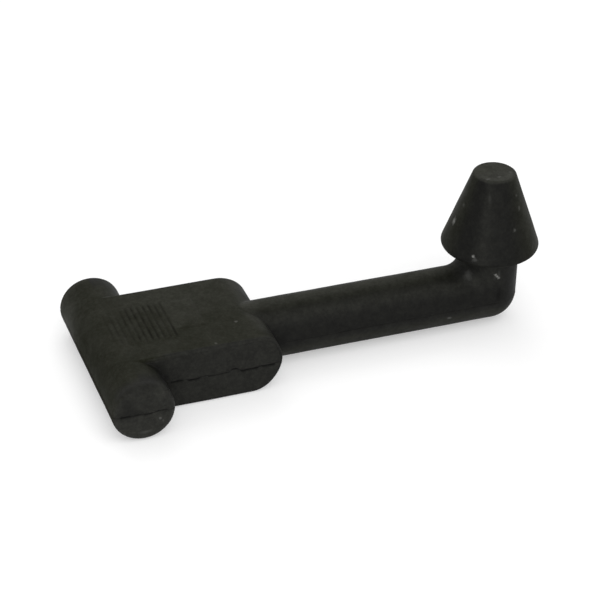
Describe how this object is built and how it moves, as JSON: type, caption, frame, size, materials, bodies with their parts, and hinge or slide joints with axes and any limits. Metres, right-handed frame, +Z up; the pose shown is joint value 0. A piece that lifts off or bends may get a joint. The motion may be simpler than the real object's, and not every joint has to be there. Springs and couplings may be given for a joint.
{
  "type": "rubber t draw latch",
  "caption": "Rubber draw latch in one piece: a tee bar and flat thumb pad, a round pull rod, and an upturned neck with a cone head that anchors in a panel hole.",
  "frame": {"origin": "on the flat underside that the latch lies on, on its centre line, halfway between the tee bar's outer side and the far side of the head's rim", "axes": "+X along the pull rod from the tee bar to the elbow, +Y along the tee bar, +Z up along the neck and head"},
  "size_m": [0.1, 0.043, 0.0353],
  "materials": {
    "black_rubber": "moulded black rubber, dull with a soft sheen"
  },
  "bodies": {
    "root": {"rubber_latch": "black_rubber"}
  },
  "joints": []
}
